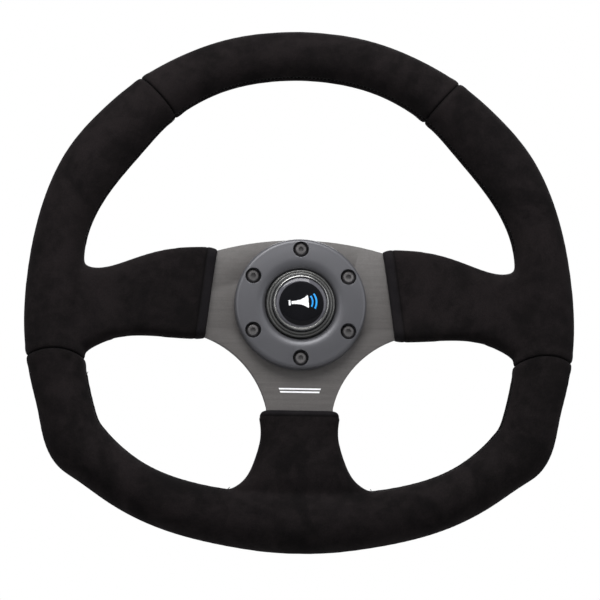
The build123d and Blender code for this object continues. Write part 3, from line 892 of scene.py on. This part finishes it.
def press_seams(bm):
    """Turns the suede in at the panel seams and the closing seam, and presses the hems."""
    depth, width = sizes().seam_depth / MM, sizes().seam_round / MM
    hem = bm.verts.layers.float.new("hem")
    # Mask of where the suede turns in at seams and hem creases; the suede material paints shade there.
    crease_shade = bm.verts.layers.float.new("crease_shade")
    hem_width = sizes().hem_width / MM
    moves = {}
    for vert in bm.verts:
        p, push, slide = vert.co, 0.0, Vector()
        for near, past, out in (
            (at_upper_seam(p), past_upper_seam(p), UPPER_SEAM_OUT),
            (at_lower_seam(p), past_lower_seam(p), Vector((0, 0, -1))),
        ):
            if not near:
                continue
            d = abs(past)
            if d < width:
                turn = 1.0 - d / width
                push -= depth * (1.0 - math.sqrt(max(0.0, 1.0 - turn * turn)))
                vert[crease_shade] = max(vert[crease_shade], turn ** 2)
            push += 0.30 * math.exp(-(((d - 1.9 * width) / 2.4) ** 2))
            if at_lower_seam(p):
                slide.z += lower_seam_slide(p) * math.exp(-((d / 9.0) ** 2))
        facing = faces_window(p, vert.normal)
        if facing > 0.5:
            d = abs(p.y - CLOSING_SEAM_Y)
            push -= 0.75 * math.exp(-((d / 0.85) ** 2))
            push += 0.22 * math.exp(-(((d - 2.6) / 1.1) ** 2))
            vert[crease_shade] = max(vert[crease_shade], math.exp(-((d / 0.8) ** 2)))
        ends = []
        if at_side_end(p) and past_side_end(p) > -0.5:
            ends.append((past_side_end(p), hem_width))
        if at_low_end(p):
            ends.append((past_low_end(p), LOW_HEM))
        for d, crease in ends:
            push -= 0.32 * math.exp(-(((d - crease) / 0.7) ** 2))
            push -= 0.9 * max(0.0, 1.0 - max(0.0, d) / 1.3) ** 2
            vert[crease_shade] = max(vert[crease_shade], 0.75 * math.exp(-(((d - crease) / 0.6) ** 2)))
            vert[hem] = max(vert[hem], max(0.0, min(1.0, (crease - d) / 1.2)))
        slide += end_taper(p)
        moves[vert] = vert.normal * push + slide
    for vert, move in moves.items():
        vert.co += move


def panel_of(point):
    """Which of the four suede panels a point belongs to."""
    if point.z > 60.0 and past_upper_seam(point) < 0.0:
        return "top"
    if past_lower_seam(point) > 0.0 and (abs(point.x) > 100.0 or point.z < LOW_END_Z + 4.0):
        return "bottom"
    return "right" if point.x > 0 else "left"


def keep_panel(bm, name):
    """A closed copy of one panel, with its seam ends filled."""
    panel = bm.copy()
    others = [f for f in panel.faces if f[panel.faces.layers.int["panel"]] != PANELS.index(name)]
    bmesh.ops.delete(panel, geom=others, context="FACES")
    open_edges = [e for e in panel.edges if e.is_boundary]
    bmesh.ops.holes_fill(panel, edges=open_edges, sides=0)
    bmesh.ops.recalc_face_normals(panel, faces=panel.faces)
    return panel


PANELS = ("top", "left", "right", "bottom")


class WHEEL_OT_suede_wraps(bpy.types.Operator):
    """Builds the four suede panels over the rim and spokes"""

    bl_idname = "wheel.suede_wraps"
    bl_label = "Suede Wraps"

    def execute(self, context):
        bm = wrap_form()
        slice_seams(bm)
        press_seams(bm)
        for name in PANELS:
            nodes = ["suede_" + name]
            if name == "bottom":
                nodes += ["rim_foam", "rim_core"]
            piece = finish_piece(
                "suede_wrap_" + name, keep_panel(bm, name), ["suede"], "wheel", nodes, sharp=70.0
            )
        WRAPS["surface"] = BVHTree.FromBMesh(bm)
        bm.free()
        return {"FINISHED"}


WRAPS = {}
STITCH_LENGTH = 5.0


class WHEEL_OT_closing_stitches(bpy.types.Operator):
    """Sews the wraps shut along the inside of the rim"""

    bl_idname = "wheel.closing_stitches"
    bl_label = "Closing Stitches"

    def execute(self, context):
        surface = WRAPS["surface"]
        pitch, thread = sizes().stitch_pitch / MM, sizes().thread / MM
        stitch = bmesh.new()
        bmesh.ops.create_uvsphere(stitch, u_segments=6, v_segments=5, radius=0.5)
        bmesh.ops.scale(stitch, vec=(thread, thread * 0.8, STITCH_LENGTH), verts=stitch.verts)
        mesh = bpy.data.meshes.new("stitch")
        stitch.to_mesh(mesh)
        stitch.free()
        sewn = bmesh.new()
        spans = [(Vector((0, 0, 62.0)), -22.0, 202.0)]
        spans.append((LOW_WINDOWS[1], -128.0, 33.0))
        spans.append((LOW_WINDOWS[0], 147.0, 308.0))
        for middle, first, last in spans:
            origin = Vector((middle.x, CLOSING_SEAM_Y, middle.z))
            previous, travelled, angle = None, pitch, first
            while angle < last:
                ray = Vector((math.cos(math.radians(angle)), 0, math.sin(math.radians(angle))))
                hit, normal, _, _ = surface.ray_cast(origin, ray)
                angle += 0.2
                if hit is None or faces_window(hit, normal) < 0.6:
                    previous = None
                    continue
                if previous is not None:
                    travelled += (hit - previous).length
                if previous is not None and travelled >= pitch:
                    along = (hit - previous).normalized()
                    for lean, shift in ((0.32, -0.25), (-0.32, 0.25)):
                        across = (Vector((0, 1, 0)) + along * lean).normalized()
                        out = along.cross(across).normalized()
                        if out.dot(normal) < 0:
                            out.negate()
                        side = across.cross(out).normalized()
                        spot = hit + along * shift * pitch + normal * 0.42
                        turn = Matrix((side, out, across)).transposed().to_4x4()
                        start = len(sewn.verts)
                        sewn.from_mesh(mesh)
                        sewn.verts.ensure_lookup_table()
                        place = Matrix.Translation(spot) @ turn
                        bmesh.ops.transform(sewn, matrix=place, verts=sewn.verts[start:])
                    travelled = 0.0
                previous = hit
        bpy.data.meshes.remove(mesh)
        bmesh.ops.recalc_face_normals(sewn, faces=sewn.faces)
        finish_piece("closing_stitches", sewn, ["thread"], "wheel", sharp=80.0)
        return {"FINISHED"}


# ---------------------------------------------------------------- plate, ring and screws


def flat_shape(corners, y, thickness):
    """A thin raised shape from (x, z) corners, standing thickness proud of y towards the driver."""
    bm = bmesh.new()
    face = bm.faces.new([bm.verts.new((x, y, z)) for x, z in corners])
    raised = bmesh.ops.extrude_face_region(bm, geom=[face])
    bmesh.ops.translate(
        bm, vec=(0, -thickness, 0), verts=[v for v in raised["geom"] if isinstance(v, bmesh.types.BMVert)]
    )
    bmesh.ops.recalc_face_normals(bm, faces=bm.faces)
    return bm


def gather(parts):
    """One bmesh from several."""
    joined = bmesh.new()
    for part in parts:
        mesh = bpy.data.meshes.new("part")
        part.to_mesh(mesh)
        part.free()
        joined.from_mesh(mesh)
        bpy.data.meshes.remove(mesh)
    return joined


MARK_BARS = (
    [(-13.5, -53.4), (13.5, -53.4), (13.1, -54.4), (-13.1, -54.4)],
    [(-12.7, -55.4), (12.7, -55.4), (12.3, -56.4), (-12.3, -56.4)],
)


class WHEEL_OT_spoke_plate(bpy.types.Operator):
    """Builds the coated spoke plate with broken edges and its two printed bars"""

    bl_idname = "wheel.spoke_plate"
    bl_label = "Spoke Plate"

    def execute(self, context):
        plate = node_copy("spoke_plate")
        bevel_sharp(plate, 0.45)
        finish_piece(
            "spoke_plate_coated", plate, ["plate"], "wheel",
            ["spoke_plate"], sharp=42.0,
        )
        y, thick = PLATE_FRONT_Y - 0.01, 0.06
        parts = [flat_shape(corners, y, thick) for corners in MARK_BARS]
        finish_piece("centre_mark", gather(parts), ["mark"], "wheel")
        return {"FINISHED"}


RING_FALL = 1.0
COUNTERBORE_R = 5.1


class WHEEL_OT_retaining_ring(bpy.types.Operator):
    """Turns the retaining ring and bores its six counterbores"""

    bl_idname = "wheel.retaining_ring"
    bl_label = "Retaining Ring"

    def execute(self, context):
        front = RING_FRONT_Y
        turns = [i * math.pi / 18 for i in range(10)]
        edge = front + RING_FALL
        face = [(r, front + RING_FALL * ((r - 28.0) / 11.0) ** 1.6) for r in (30.0, 32.5, 35.0, 37.3)]
        arc = face + [(39.0 + 3.0 * math.sin(a), edge + 3.0 - 3.0 * math.cos(a)) for a in turns]
        lip = [(28.6 - 6.0 * math.sin(a), front + 4.4 - 4.4 * math.cos(a)) for a in turns[:9]]
        back = PLATE_FRONT_Y - 0.02
        outline = [(22.25, back), (41.85, back), (42.0, -13.2), *arc[::-1], *lip, (22.25, front + 4.7)]
        ring = lathe(outline, steps=180)
        bores = []
        for place in bolt_places():
            for radius, deep in ((COUNTERBORE_R, front + 3.72), (2.75, -12.0)):
                bore = rod(radius, front - 2.0, deep, 56)
                bmesh.ops.translate(bore, vec=place, verts=bore.verts)
                bores.append(bore)
        wide = cut(ring, gather(bores[0::2]))
        ring = cut(wide, gather(bores[1::2]))
        places = list(bolt_places())

        def at_mouth(vert):
            across = min(math.hypot(vert.co.x - p.x, vert.co.z - p.z) for p in places)
            return vert.co.y < front + 3.0 and abs(across - COUNTERBORE_R) < 0.05

        mouths = [
            e for e in ring.edges
            if len(e.link_faces) == 2 and e.calc_face_angle(0.0) > math.radians(45)
            and all(at_mouth(v) for v in e.verts)
        ]
        bmesh.ops.bevel(ring, geom=mouths, offset=0.22, offset_type="OFFSET", segments=2, profile=0.5,
                        affect="EDGES", material=-1, clamp_overlap=True)
        finish_piece(
            "retaining_ring_turned", ring, ["ring"], "wheel",
            ["retaining_ring"], sharp=34.0,
        )
        return {"FINISHED"}


SCREW_SEAT_DEPTH = 3.7
SCREW_HEAD = 2.75
SCREW_TURN = 0.37
SOCKET_FLATS = 3.05


class WHEEL_OT_ring_screws(bpy.types.Operator):
    """Makes the six button head screws"""

    bl_idname = "wheel.ring_screws"
    bl_label = "Ring Screws"

    def execute(self, context):
        seat = RING_FRONT_Y + SCREW_SEAT_DEPTH
        top = seat - SCREW_HEAD
        crown = [
            (2.05, top), (2.9, top + 0.02), (3.15, top + 0.2), (3.6, top + 0.85), (4.1, top + 1.6),
            (4.5, top + 2.2), (4.7, top + 2.6),
        ]
        shank = [(4.65, seat), (2.42, seat), (2.42, -1.9), (2.0, -1.5), (0.0, -1.5)]
        outline = [(0.0, top)] + crown + shank
        screw = lathe(outline, steps=48, closed=False)
        socket = rod(SOCKET_FLATS / math.sqrt(3.0), top - 1.0, top + 1.7, 6)
        screw = cut(screw, socket)
        screws = []
        for index, place in enumerate(bolt_places()):
            one = screw.copy()
            turn = Matrix.Rotation(SCREW_TURN * index, 3, "Y")
            bmesh.ops.rotate(one, cent=(0, 0, 0), matrix=turn, verts=one.verts)
            bmesh.ops.translate(one, vec=place, verts=one.verts)
            screws.append(one)
        screw.free()
        finish_piece(
            "ring_screw_set", gather(screws), ["screw"], "wheel",
            ["ring_screws"], sharp=32.0,
        )
        return {"FINISHED"}


# ---------------------------------------------------------------- horn

DOME_TOP_Y = -25.4
BADGE_R = 16.4
SIGN_TURN = math.radians(5.0)


def dome_y(x, z):
    """Height of the badge's dome at a point in front view."""
    reach = min(1.0, math.hypot(x, z) / BADGE_R)
    return DOME_TOP_Y + 0.55 * reach ** 2 + 1.4 * reach ** 8


class WHEEL_OT_horn_button(bpy.types.Operator):
    """Turns the horn housing, cap, bright ring and domed badge"""

    bl_idname = "wheel.horn_button"
    bl_label = "Horn Button"

    def execute(self, context):
        housing = lathe(
            [
                (18.22, -16.05), (18.22, -20.3), (18.8, -20.9), (19.6, -20.9), (19.9, -20.4),
                (20.05, -19.3), (20.3, -19.3), (20.6, -19.85), (21.2, -19.9), (21.6, -19.4),
                (22.1, -18.1), (22.1, -12.9), (23.7, -12.9), (23.7, -8.12), (19.5, -8.12),
                (19.5, -16.05),
            ],
            rounding=0.14,
        )
        finish_piece(
            "horn_housing_turned", housing, ["housing"], "wheel",
            ["horn_housing"], sharp=30.0,
        )
        cap = lathe(
            [
                (0.0, -21.6), (16.43, -21.6), (16.43, -22.85), (18.1, -22.85), (18.1, -15.8),
                (19.4, -15.8), (19.4, -13.0), (15.3, -13.0), (15.3, -19.8), (4.0, -19.8),
                (4.0, -14.9), (0.0, -14.9),
            ],
            rounding=0.12, closed=False,
        )
        finish_piece("horn_cap_turned", cap, ["cap"], "horn_button", ["horn_cap"], sharp=30.0)
        bezel = lathe(
            [
                (16.46, -22.92), (18.02, -22.92), (18.02, -23.35), (17.6, -24.15), (17.05, -24.6),
                (16.7, -24.7), (16.46, -24.4),
            ],
            rounding=0.1,
        )
        finish_piece(
            "badge_ring_bright", bezel, ["bezel"], "horn_button",
            ["badge_ring"], sharp=40.0,
        )
        radii = [BADGE_R * math.sin(math.pi / 2 * k / 18) for k in range(19)]
        dome = [(r, dome_y(r, 0.0)) for r in radii]
        badge = lathe(dome + [(BADGE_R, -21.65), (0.0, -21.65)], closed=False)
        finish_piece(
            "horn_badge_domed", badge, ["badge"], "horn_button",
            ["horn_badge"], sharp=50.0,
        )
        return {"FINISHED"}


def dome_shape(corners, proud):
    """A thin shape from (x, z) corners laid over the badge's dome."""
    c, s = math.cos(SIGN_TURN), math.sin(SIGN_TURN)
    bm = flat_shape([(x * c - z * s, x * s + z * c) for x, z in corners], 0.0, 1.0)
    bmesh.ops.triangulate(bm, faces=bm.faces)
    for _ in range(3):
        long_edges = [e for e in bm.edges if e.calc_length() > 1.2]
        bmesh.ops.subdivide_edges(bm, edges=long_edges, cuts=1)
        bmesh.ops.triangulate(bm, faces=bm.faces)
    for vert in bm.verts:
        lift = proud if vert.co.y < -0.5 else -0.05
        vert.co.y = dome_y(vert.co.x, vert.co.z) - lift
    return bm


class WHEEL_OT_badge_sign(bpy.types.Operator):
    """Lays the horn sign and its sound waves on the badge"""

    bl_idname = "wheel.badge_sign"
    bl_label = "Badge Sign"

    def execute(self, context):
        horn = [
            (-6.4, 0.9), (-3.4, 1.05), (0.2, 1.7), (2.6, 3.0), (3.7, 3.9), (4.5, 3.9), (4.5, -3.9),
            (3.7, -3.9), (2.6, -3.0), (0.2, -1.7), (-3.4, -1.05), (-6.4, -0.9),
        ]
        mouthpiece = [(-8.2, 1.7), (-7.0, 1.7), (-7.0, -1.7), (-8.2, -1.7)]
        sign = gather([dome_shape(horn, 0.05), dome_shape(mouthpiece, 0.05)])
        finish_piece("badge_horn_sign", sign, ["mark"], "horn_button", sharp=60.0)
        waves = []
        for inner, outer in ((6.0, 7.0), (8.4, 9.5)):
            angles = [math.radians(-32 + 8 * step) for step in range(9)]
            corners = [(outer * math.cos(a), outer * math.sin(a)) for a in angles]
            corners += [(inner * math.cos(a), inner * math.sin(a)) for a in reversed(angles)]
            waves.append(dome_shape([(x + 0.6, z) for x, z in corners], 0.05))
        finish_piece("badge_waves", gather(waves), ["accent"], "horn_button", sharp=60.0)
        return {"FINISHED"}


# ---------------------------------------------------------------- hub and springs


def coil(radius, wire, start_y, end_y, turns):
    """A spring wound about the steering axis with flat closed ends."""
    bm = bmesh.new()
    bmesh.ops.create_circle(bm, cap_ends=True, segments=14, radius=wire / 2)
    bmesh.ops.translate(bm, vec=(radius, 0, 0), verts=bm.verts)
    steps = 48
    free = (end_y - start_y - 2.05 * wire) / turns
    bmesh.ops.translate(bm, vec=(0, start_y + wire / 2, 0), verts=bm.verts)
    geometry = bm.faces[:]
    for lead, length in ((wire * 0.52, 1.0), (free, turns), (wire * 0.52, 1.0)):
        made = bmesh.ops.spin(
            bm, geom=geometry, cent=(0, 0, 0), axis=(0, 1, 0), dvec=(0, lead / steps, 0),
            angle=math.tau * length, steps=int(steps * length), use_merge=False,
            use_normal_flip=False, use_duplicate=False,
        )
        geometry = [g for g in made["geom_last"] if isinstance(g, bmesh.types.BMFace)]
    bmesh.ops.recalc_face_normals(bm, faces=bm.faces)
    return bm


# Radius, wire, start, end and free turns of each spring.
COLLAR_SPRING = (26.6, 1.8, 0.2, 21.8, 3.5)
HORN_SPRING = (14.3, 0.9, -19.7, -10.4, 2.5)


class WHEEL_OT_springs(bpy.types.Operator):
    """Winds the collar spring and the horn spring"""

    bl_idname = "wheel.springs"
    bl_label = "Springs"

    def execute(self, context):
        long_spring = finish_piece(
            "collar_spring_wound", coil(*COLLAR_SPRING), ["spring"], "wheel",
            ["collar_spring"], sharp=60.0,
        )
        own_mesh(long_spring)
        short_spring = finish_piece(
            "horn_spring_wound", coil(*HORN_SPRING), ["spring"], "wheel",
            ["horn_spring"], sharp=60.0,
        )
        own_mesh(short_spring)
        return {"FINISHED"}


class WHEEL_OT_hub_finishes(bpy.types.Operator):
    """Finishes the hub, release collar, balls, snap ring and horn contacts"""

    bl_idname = "wheel.hub_finishes"
    bl_label = "Hub Finishes"

    def execute(self, context):
        for name, material in (
            ("hub_flange", "hub"), ("hub_sleeve", "hub"), ("release_collar", "collar"),
            ("snap_ring", "spring"), ("horn_base", "base"), ("contact_plate", "brass"),
            ("horn_terminals", "brass"),
        ):
            paint_node(name, material)
        for number in range(1, 7):
            paint_node(f"lock_ball_{number}", "ball")
        return {"FINISHED"}


# ---------------------------------------------------------------- stage


def soft_light(name, place, aim, width, height, power, colour=(1, 1, 1)):
    """A soft rectangular studio light."""
    data = bpy.data.lights.new(name, "AREA")
    data.shape = "RECTANGLE"
    data.size, data.size_y = width, height
    data.energy = power
    data.color = colour
    lamp = bpy.data.objects.new(name, data)
    lamp.location = place
    lamp.rotation_euler = (Vector(aim) - Vector(place)).to_track_quat("-Z", "Y").to_euler()
    bpy.context.scene.collection.objects.link(lamp)
    return lamp


CAMERA_AZIMUTH = math.radians(-4.5)
CAMERA_ELEVATION = math.radians(-10.5)
CAMERA_ROLL = math.radians(0.15)
CAMERA_DISTANCE = 6.0
VIEW_WIDTH = 0.3815


class WHEEL_OT_stage(bpy.types.Operator):
    """Sets the floor, the surroundings, the lights and the camera"""

    bl_idname = "wheel.stage"
    bl_label = "Stage"

    def execute(self, context):
        scene = context.scene
        floor_bm = bmesh.new()
        bmesh.ops.create_circle(floor_bm, cap_ends=True, segments=96, radius=16.0)
        bmesh.ops.translate(floor_bm, vec=(0, 0, FLOOR_Z), verts=floor_bm.verts)
        mesh = bpy.data.meshes.new("floor")
        floor_bm.to_mesh(mesh)
        floor_bm.free()
        material, tree, shader, place = new_material("Pale Floor", Roughness=0.8)
        backdrop = tuple(colours().backdrop)
        uneven = noise(tree, place.outputs[0], 3.0)
        tone = mix_colour(tree, uneven, shade(backdrop, 0.98), backdrop)
        tree.links.new(tone, shader.inputs["Base Color"])
        mesh.materials.append(material)
        floor = bpy.data.objects.new("floor", mesh)
        scene.collection.objects.link(floor)

        world = bpy.data.worlds.new("Studio")
        world.use_nodes = True
        tree = world.node_tree
        tree.nodes.clear()
        shown = node(tree, "ShaderNodeBackground", in_Color=(1, 1, 1, 1), in_Strength=1.0)
        fill = node(tree, "ShaderNodeBackground", in_Color=(0.97, 0.98, 1.0, 1))
        sky = node(tree, "ShaderNodeTexCoord")
        split = node(tree, "ShaderNodeSeparateXYZ")
        tree.links.new(sky.outputs["Generated"], split.inputs[0])
        tree.links.new(ramp(tree, split.outputs["Z"], -0.7, 0.9, 0.08, 0.45), fill.inputs["Strength"])
        path = node(tree, "ShaderNodeLightPath")
        mix = node(tree, "ShaderNodeMixShader")
        out = node(tree, "ShaderNodeOutputWorld")
        tree.links.new(path.outputs["Is Camera Ray"], mix.inputs[0])
        tree.links.new(fill.outputs[0], mix.inputs[1])
        tree.links.new(shown.outputs[0], mix.inputs[2])
        tree.links.new(mix.outputs[0], out.inputs["Surface"])
        scene.world = world
        scene.view_settings.view_transform = "Standard"

        soft_light("overhead_softbox", (-0.14, -0.80, 1.05), (0, 0, 0), 1.1, 0.6, 24.0)
        soft_light("left_softbox", (-1.2, -0.85, 0.35), (0, 0, 0), 0.7, 1.1, 5.0, (0.98, 0.98, 1.0))
        soft_light("right_softbox", (1.25, -0.7, 0.40), (0, 0, 0), 0.7, 1.1, 6.5, (0.95, 0.96, 1.0))
        soft_light("rear_softbox", (0.3, 1.3, 0.9), (0, 0, 0), 1.2, 0.8, 14.0)

        azimuth, elevation, distance = CAMERA_AZIMUTH, CAMERA_ELEVATION, CAMERA_DISTANCE
        aim = Vector((0.0002, RIM_MID_Y * MM, 0.0040))
        away = Vector((math.sin(azimuth), -math.cos(azimuth), 0.0)) * math.cos(elevation)
        away.z = math.sin(elevation)
        data = bpy.data.cameras.new("camera")
        data.sensor_width = 36.0
        data.lens = data.sensor_width * distance / VIEW_WIDTH
        data.clip_start = 0.1
        camera = bpy.data.objects.new("camera", data)
        camera.location = aim + away * distance
        roll = Quaternion((0, 0, 1), CAMERA_ROLL)
        camera.rotation_euler = ((-away).to_track_quat("-Z", "Y") @ roll).to_euler()
        scene.collection.objects.link(camera)
        scene.camera = camera
        return {"FINISHED"}


# ---------------------------------------------------------------- panel and registration

STEPS = (
    WHEEL_OT_stage,
    WHEEL_OT_suede_wraps,
    WHEEL_OT_closing_stitches,
    WHEEL_OT_spoke_plate,
    WHEEL_OT_retaining_ring,
    WHEEL_OT_ring_screws,
    WHEEL_OT_horn_button,
    WHEEL_OT_badge_sign,
    WHEEL_OT_springs,
    WHEEL_OT_hub_finishes,
)


class WHEEL_PT_pieces(bpy.types.Panel):
    """Lists the wheel's pieces and settings"""

    bl_idname = "WHEEL_PT_pieces"
    bl_label = "Steering Wheel"
    bl_space_type = "VIEW_3D"
    bl_region_type = "UI"
    bl_category = "Wheel"

    def draw(self, context):
        for group in (context.scene.wheel_sizes, context.scene.wheel_colours):
            for key in group.__annotations__:
                self.layout.prop(group, key)
        for step in STEPS:
            self.layout.operator(step.bl_idname)


CLASSES = (WheelSizes, WheelColours, *STEPS, WHEEL_PT_pieces)


def register():
    for cls in CLASSES:
        bpy.utils.register_class(cls)
    bpy.types.Scene.wheel_sizes = PointerProperty(type=WheelSizes)
    bpy.types.Scene.wheel_colours = PointerProperty(type=WheelColours)


def unregister():
    del bpy.types.Scene.wheel_colours
    del bpy.types.Scene.wheel_sizes
    for cls in reversed(CLASSES):
        bpy.utils.unregister_class(cls)


def main():
    register()
    for step in STEPS:
        group, name = step.bl_idname.split(".")
        result = getattr(getattr(bpy.ops, group), name)()
        if result != {"FINISHED"}:
            raise RuntimeError(step.bl_label + " did not finish")


if __name__ == "__main__":
    main()
